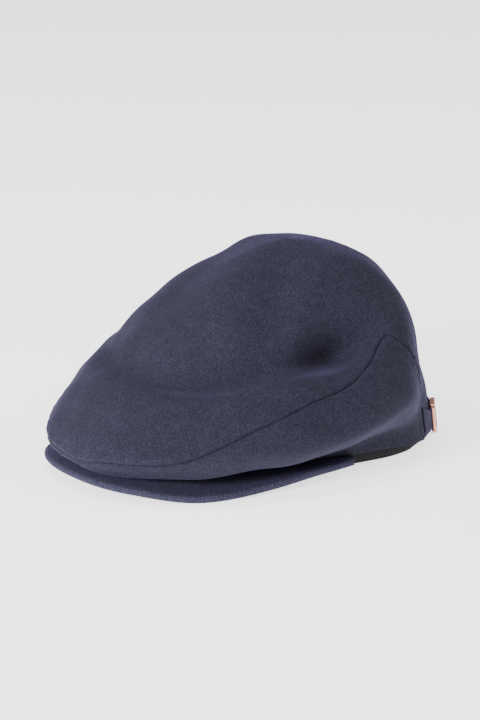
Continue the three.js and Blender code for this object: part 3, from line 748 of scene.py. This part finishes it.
def crown_plain(angle, place):
    """The crown's outer surface before its dents: a row of places for each angle"""
    knots = crown_knots(angle)
    length = np.linalg.norm(np.diff(knots, axis=1), axis=2)[..., None]
    chord = np.diff(knots, axis=1) / length
    slopes = np.empty((len(angle), POLE + 1, 3))
    slopes[:, 0] = chord[:, 0]
    weighed = chord[:, :-1] * length[:, 1:] + chord[:, 1:] * length[:, :-1]
    slopes[:, 1:] = weighed / (length[:, :-1] + length[:, 1:])
    index = np.minimum(place.astype(int), POLE - 1)
    f = (place - index)[..., None]
    row = np.arange(len(angle))[:, None]
    span = length[row, index]
    return cubic(f, knots[row, index], slopes[row, index] * span,
                 knots[row, index + 1], slopes[row, index + 1] * span)


def outward(surface, angle, place):
    """Outward direction of a surface given as a function of angle and place"""
    across = surface(angle + ANGLE_STEP, place) - surface(angle - ANGLE_STEP, place)
    low = np.maximum(place - PLACE_STEP, 0)
    high = np.minimum(place + PLACE_STEP, POLE - PLACE_STEP)
    up = surface(angle, high) - surface(angle, low)
    normal = np.cross(across, up)
    size = np.linalg.norm(normal, axis=-1, keepdims=True)
    normal = np.where(size > 1e-12, normal / np.maximum(size, 1e-12), (0, 0, 1))
    return np.where((place >= POLE - 1e-6)[..., None], (0, 0, 1), normal)


def crease_depth(angle, place):
    above = place - between(CREASE_ROUTE, "place", angle)[:, None]
    valley = CREASE_DEPTH * np.exp(-np.hypot(above, CREASE_ROUNDING) / CREASE_WIDTH)
    shelf = SHELF_HEIGHT * bump(above + SHELF_BELOW, SHELF_WIDTH)
    return (valley - shelf) * bump(turn_of(angle - CREASE_ANGLE), CREASE_SPREAD)[:, None]


def wave_depth(points):
    depth = 0
    for wave in CLOTH_WAVES:
        turn, tilt = math.radians(wave["turn"]), math.radians(wave["tilt"])
        along = np.array([math.cos(turn) * math.cos(tilt), math.sin(turn) * math.cos(tilt), math.sin(tilt)])
        depth = depth + wave["depth"] * np.sin(points @ along * 2 * math.pi / wave["length"] + turn)
    return depth


def dent_depth(angle, place):
    depth = sum(
        dent["depth"] * bump(turn_of(angle[:, None] - dent["angle"]), dent["spread"])
        * bump(place - dent["place"], dent["run"])
        for dent in CROWN_DENTS + SMALL_DENTS
    )
    soft = crease_depth(angle, place) + ramp(place, 0, 2) * wave_depth(crown_plain(angle, place))
    return ramp(POLE - place, 0, 1) * (CROWN_HEIGHT * depth + soft)


def crown_outer(angle, place):
    depth = dent_depth(angle, place)[..., None]
    return crown_plain(angle, place) - outward(crown_plain, angle, place) * depth


def seam_angles(step):
    """Angles along the seam that lie a fixed length apart on the cloth"""
    fine = np.linspace(-SEAM_END, SEAM_END, SEAM_SAMPLES)
    place = between(SEAM_ROUTE, "place", fine)
    points = crown_plain(fine, place[:, None])[:, 0]
    length = np.concatenate([[0], np.cumsum(np.linalg.norm(np.diff(points, axis=0), axis=1))])
    count = int(round(length[-1] / step))
    return np.interp(np.linspace(0, length[-1], count + 1), length, fine)


def seam_edge(shift):
    """The seam moved sideways on the crown: up onto the top panel where shift is above zero"""
    angle = seam_angles(SEAM_COLUMN_STEP)
    place = between(SEAM_ROUTE, "place", angle)
    column = place[:, None]
    here = crown_plain(angle, column)[:, 0]
    per_angle = (crown_plain(angle + ANGLE_STEP, column)[:, 0] - here) / ANGLE_STEP
    per_place = (crown_plain(angle, column + PLACE_STEP)[:, 0] - here) / PLACE_STEP
    along = per_angle + per_place * np.gradient(place, angle)[:, None]
    up = np.cross(outward(crown_plain, angle, column)[:, 0], along)
    up *= shift / np.linalg.norm(up, axis=1, keepdims=True)
    e = (per_angle**2).sum(1)
    f = (per_angle * per_place).sum(1)
    g = (per_place**2).sum(1)
    a = (up * per_angle).sum(1)
    b = (up * per_place).sum(1)
    scale = e * g - f * f
    return angle + (a * g - b * f) / scale, np.maximum(place + (b * e - a * f) / scale, 0)


def seam_tree():
    """The seam's points, to find how far away it is and how far along it"""
    angle = seam_angles(SEAM_TRACE_STEP)
    points = crown_outer(angle, between(SEAM_ROUTE, "place", angle)[:, None])[:, 0]
    tree = kdtree.KDTree(len(points))
    for i, point in enumerate(points):
        tree.insert(point, i)
    tree.balance()
    return tree


seam = seam_tree()


def seam_relief(points):
    """How far the cloth stands proud or sinks in near the seam"""
    flat = points.reshape(-1, 3)
    found = [seam.find(point) for point in flat]
    distance = np.array([row[2] for row in found]).reshape(points.shape[:-1])
    along = np.array([row[1] for row in found]).reshape(points.shape[:-1]) * SEAM_TRACE_STEP
    turn = 2 * math.pi * along / PUCKER_LENGTH
    wave = np.sin(turn) + FINE_PUCKER * np.sin(turn / FINE_PUCKER_LENGTH)
    sink = SEAM_SINK * bump(distance, SEAM_SINK_WIDTH)
    ridge = (SEAM_RIDGE + PUCKER * wave) * bump(distance - SEAM_RIDGE_AT, SEAM_RIDGE_WIDTH)
    return ridge - sink


def cloth_wall(angle, low, high, tuck, rows, inner_rows, gather):
    """Outer and inner grids of points for a panel, a column for each angle"""

    def grid(count):
        f = np.linspace(0, 1, count + 1)
        near = f ** gather[0]
        far = 1 - (1 - f) ** gather[1]
        share = near * (1 - f) + far * f
        place = low[:, None] + (high - low)[:, None] * share
        plain = crown_plain(angle, place)
        normal = outward(crown_plain, angle, place)
        depth = dent_depth(angle, place)
        if tuck:
            depth = depth + tuck_depth(angle[:, None], place)
        return plain - normal * depth[..., None], place

    outer, place = grid(rows)
    relief = seam_relief(outer)
    outer = outer + outward(crown_outer, angle, place) * relief[..., None]
    inner, place = grid(inner_rows)
    inner = inner - outward(crown_outer, angle, place) * CLOTH_WALL
    return outer, inner


def make_side_panel():
    angle, seam_place = seam_edge(-SEAM_GAP / 2)
    low = np.zeros_like(seam_place)
    outer, inner = cloth_wall(angle, low, seam_place, False, SIDE_ROWS, SIDE_INNER_ROWS, SIDE_GATHER)
    rings = wall_rings(outer, inner, RIM_ROUNDING, SEAM_GAP / 2)
    piece = skin("side_panel_wool", rings, False, wool)
    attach(piece, "root")
    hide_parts("side_panel")
    return piece


side_panel = make_side_panel()

# Top panel: the long piece that covers the crown, cut with a pointed corner behind each ear. It
# runs down the back to the rim between the side panel's two ends.
TOP_ROWS = 84
TOP_INNER_ROWS = 36
TOP_GATHER = (1.5, 1.0)
BACK_STEP = 1.0


def make_top_panel():
    angle, seam_place = seam_edge(SEAM_GAP / 2)
    first = angle[0] + 360
    steps = int(round((first - angle[-1]) / BACK_STEP))
    back = angle[-1] + (first - angle[-1]) * np.arange(1, steps) / steps
    angle = np.concatenate([angle, back])
    low = np.concatenate([seam_place, np.zeros(len(back))])
    high = np.full(len(angle), float(POLE))
    outer, inner = cloth_wall(angle, low, high, True, TOP_ROWS, TOP_INNER_ROWS, TOP_GATHER)
    rings = wall_rings(outer, inner, RIM_ROUNDING, 0)
    piece = skin("top_panel_wool", rings, True, wool)
    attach(piece, "root")
    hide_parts("top_panel")
    return piece


top_panel = make_top_panel()

# Strap: a narrow strip of the same wool over the lower back, sewn in at both seams. It passes
# under the buckle's side bars and over its middle bar.
STRAP_GAP = 0.0004
STRAP_END_HEIGHT = 0.018
STRAP_WALL = 0.0014
STRAP_CLEARANCE = 0.0005
STRAP_END_RISE = 0.005
STRAP_LEVEL_ANGLE = 133
STRAP_END_TURN = 0.45
STRAP_STEPS = 320
STRAP_ROWS = 18
STRAP_EDGE_ROUND = 0.0006
STRAP_ROUNDING = 0.0003
STRAP_TACK = 8
THREADED_ANGLE = 7
BUCKLE_ANGLE = 140
BUCKLE_HEIGHT = 0.0195
BUCKLE_WIDTH = 0.018
BUCKLE_BAR = 0.002
BUCKLE_STANDOFF = 0.0008
BUCKLE_LIFT = 0.0006
MIDDLE_BAR_DEPTH = 0.0011
HALVINGS = 24
BUCKLE_MIDDLE = BUCKLE_LIFT + BUCKLE_HEIGHT / 2
WINDOW_HEIGHT = BUCKLE_HEIGHT - 2 * BUCKLE_BAR


def top_outer(angle, place):
    depth = dent_depth(angle, place) + tuck_depth(angle[:, None], place)
    return crown_plain(angle, place) - outward(crown_plain, angle, place) * depth[..., None]


def place_at_height(angle, height):
    """Places on the crown at heights, found by halving"""
    low = np.zeros_like(height)
    high = np.full_like(height, CROWN_PLACES.index("roll"))
    for _ in range(HALVINGS):
        middle = (low + high) / 2
        over = crown_plain(angle, middle)[..., 2] >= height
        high = np.where(over, middle, high)
        low = np.where(over, low, middle)
    return (low + high) / 2


def leg_angle(place):
    """Angles of the seam's rear leg at places, found by halving"""
    corner = max(SEAM_ROUTE, key=lambda row: row["place"])
    low = np.full_like(place, corner["angle"])
    high = np.full_like(place, SEAM_END)
    for _ in range(HALVINGS):
        middle = (low + high) / 2
        over = between(SEAM_ROUTE, "place", middle) > place
        low = np.where(over, middle, low)
        high = np.where(over, high, middle)
    return (low + high) / 2


def on_cloth(angle, place, lift):
    """Points on or over the top panel, each with its own angle, place and lift"""
    at, over = angle.ravel(), place.reshape(-1, 1)
    ground = top_outer(at, over)[:, 0]
    normal = outward(top_outer, at, over)[:, 0]
    return (ground + normal * lift.reshape(-1, 1)).reshape(*angle.shape, 3)


def buckle_seat():
    """Where the buckle sits on the cloth: a point, and the directions sideways, up and out"""
    angle = np.array([float(BUCKLE_ANGLE)])
    place = place_at_height(angle, np.array([[BUCKLE_MIDDLE]]))
    out = Vector(outward(top_outer, angle, place)[0, 0])
    up = (Vector((0, 0, 1)) - out * out.z).normalized()
    return Vector(top_outer(angle, place)[0, 0]), up.cross(out), up, out


def make_strap():
    angle = np.linspace(SEAM_END, 360 - SEAM_END, STRAP_STEPS + 1)
    turn = np.minimum(angle, 360 - angle)
    end = (1 - ramp(turn, SEAM_END, STRAP_LEVEL_ANGLE))[:, None]
    middle = BUCKLE_MIDDLE + STRAP_END_RISE * end
    height = WINDOW_HEIGHT - 2 * STRAP_CLEARANCE
    height = height + (STRAP_END_HEIGHT - height) * end
    share = np.linspace(-0.5, 0.5, STRAP_ROWS + 1)
    place = place_at_height(angle, middle + height * share)
    shear = (SEAM_END - leg_angle(place) - STRAP_END_TURN) * end
    swung = angle[:, None] - np.where(angle[:, None] < 180, shear, -shear)
    point, side, up, out = buckle_seat()
    ground = on_cloth(swung, place, np.zeros_like(place))
    along = np.abs((ground - np.array(point)) @ np.array(side))
    near = np.abs(angle - BUCKLE_ANGLE)[:, None] < THREADED_ANGLE
    off_bar = BUCKLE_WIDTH / 2 - BUCKLE_BAR - STRAP_CLEARANCE
    climb = BUCKLE_STANDOFF + MIDDLE_BAR_DEPTH
    lift = STRAP_GAP + np.where(near, climb * (1 - ramp(along, BUCKLE_BAR, off_bar)), 0)
    to_edge = (0.5 - np.abs(share)) * height
    rounding = STRAP_EDGE_ROUND * (1 - ramp(to_edge, 0, 2 * STRAP_EDGE_ROUND))
    outer = on_cloth(swung, place, lift + STRAP_WALL - rounding)
    inner = on_cloth(swung, place, lift)
    piece = skin("strap_wool", wall_rings(outer, inner, STRAP_ROUNDING, STRAP_ROUNDING), False, wool)
    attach(piece, "root")
    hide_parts("strap")
    rows = [outer[STRAP_TACK, 2:-2], outer[-1 - STRAP_TACK, 2:-2]]
    return piece, make_stitches("strap_stitches", rows)


strap, strap_stitches = make_strap()

# Buckle: a small cast frame in rose gold, polished, with rounded edges. Its rails run above and
# below the strap, its side bars over it and its middle bar under it.
METAL_COLOUR = (0.62, 0.30, 0.20)
METAL_ROUGHNESS = (0.14, 0.3)
METAL_SMEAR_SCALE = 400
METAL_EDGE = 0.00035
METAL_EDGE_STEPS = 3
FLAT_ANGLE = math.radians(2)


def metal_material():
    material, nodes, links, shader = fresh_material("rose_gold")
    shader.inputs["Metallic"].default_value = 1
    shader.inputs["Base Color"].default_value = (*METAL_COLOUR, 1)
    place = nodes.new("ShaderNodeTexCoord")
    smear = nodes.new("ShaderNodeTexNoise")
    smear.inputs["Scale"].default_value = METAL_SMEAR_SCALE
    smear.inputs["Detail"].default_value = 3
    links.new(place.outputs["Object"], smear.inputs["Vector"])
    rough = nodes.new("ShaderNodeMapRange")
    for socket, value in zip(("To Min", "To Max"), METAL_ROUGHNESS):
        rough.inputs[socket].default_value = value
    links.new(smear.outputs["Fac"], rough.inputs["Value"])
    links.new(rough.outputs["Result"], shader.inputs["Roughness"])
    return material


def make_buckle():
    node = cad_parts["buckle"]
    bm = bmesh.new()
    bm.from_mesh(node.data)
    bmesh.ops.remove_doubles(bm, verts=bm.verts, dist=WELD)
    bmesh.ops.dissolve_limit(bm, angle_limit=FLAT_ANGLE, verts=bm.verts, edges=bm.edges)
    mesh = bpy.data.meshes.new("buckle_cast")
    bm.to_mesh(mesh)
    bm.free()
    mesh.materials.clear()
    mesh.materials.append(metal_material())
    piece = bpy.data.objects.new("buckle_cast", mesh)
    bpy.context.scene.collection.objects.link(piece)
    edge = piece.modifiers.new("rounded_edges", "BEVEL")
    edge.width = METAL_EDGE
    edge.segments = METAL_EDGE_STEPS
    edge.limit_method = "ANGLE"
    edge.harden_normals = True
    for face in mesh.polygons:
        face.use_smooth = True
    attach(piece, "root")
    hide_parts("buckle")
    return piece


buckle = make_buckle()
